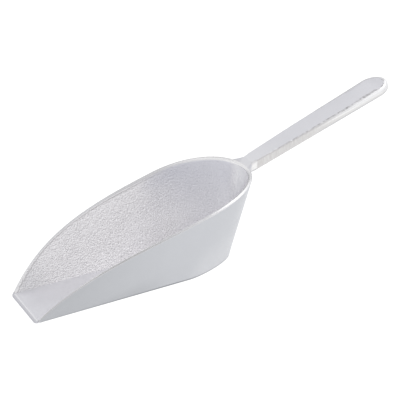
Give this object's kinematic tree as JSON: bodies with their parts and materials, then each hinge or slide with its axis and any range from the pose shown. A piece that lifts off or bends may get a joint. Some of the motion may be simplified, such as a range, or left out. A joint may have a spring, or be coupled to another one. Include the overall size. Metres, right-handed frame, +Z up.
{
  "type": "ice scoop",
  "caption": "Cast aluminium ice scoop: flat-floored bowl with flared side walls, rounded back and a rising flat handle.",
  "frame": {"origin": "centre of the bounding box in X and Y, on the surface that the flat floor rests on", "axes": "+X from the front lip to the handle's tip, +Z up from the flat floor, +Y to the right-hand wall"},
  "size_m": [0.2806, 0.0788, 0.1057],
  "materials": {
    "smooth_cast": "smooth satin casting, faint flow marks",
    "pebbled_cast": "fine pebbled casting inside, smooth satin outside, ground top edge",
    "ground_cast": "satin casting with ground, cross-brushed edges"
  },
  "bodies": {
    "root": {"bowl_floor": "smooth_cast", "left_side_wall": "pebbled_cast", "right_side_wall": "pebbled_cast", "back_wall": "pebbled_cast", "handle_neck": "ground_cast", "handle_grip": "ground_cast"}
  },
  "joints": []
}
